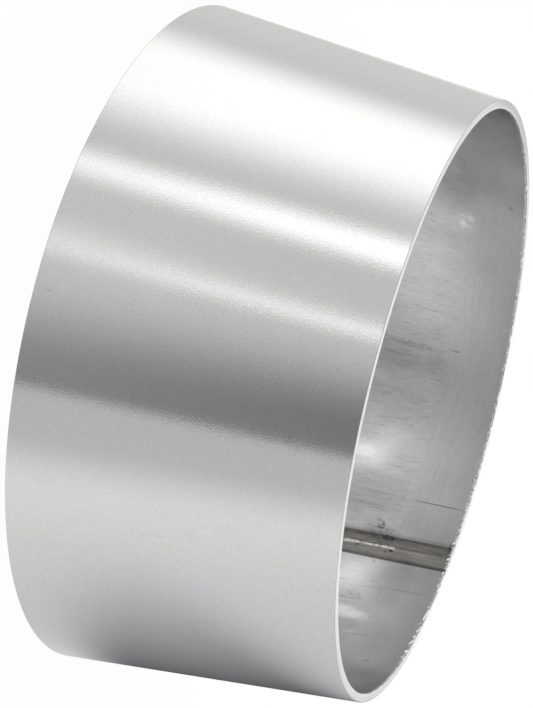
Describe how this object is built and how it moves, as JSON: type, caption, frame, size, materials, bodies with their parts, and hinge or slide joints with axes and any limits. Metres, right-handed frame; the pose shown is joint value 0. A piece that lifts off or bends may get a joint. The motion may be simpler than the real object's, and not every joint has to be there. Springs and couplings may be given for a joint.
{
  "type": "transition cone",
  "caption": "Short conical tube reducer rolled from stainless sheet, seam welded, open both ends, with square-cut plain ends for butt welding.",
  "frame": {"origin": "centre of the large end face, on the surface that the part stands on", "axes": "+Z along the cone's axis from the large end to the small end; the welded seam is on the +X side"},
  "size_m": [0.1142, 0.1142, 0.0508],
  "materials": {
    "stainless": "brushed around the outside, mill finish inside, bright cut edges"
  },
  "bodies": {
    "root": {"cone_shell": "stainless"}
  },
  "joints": []
}
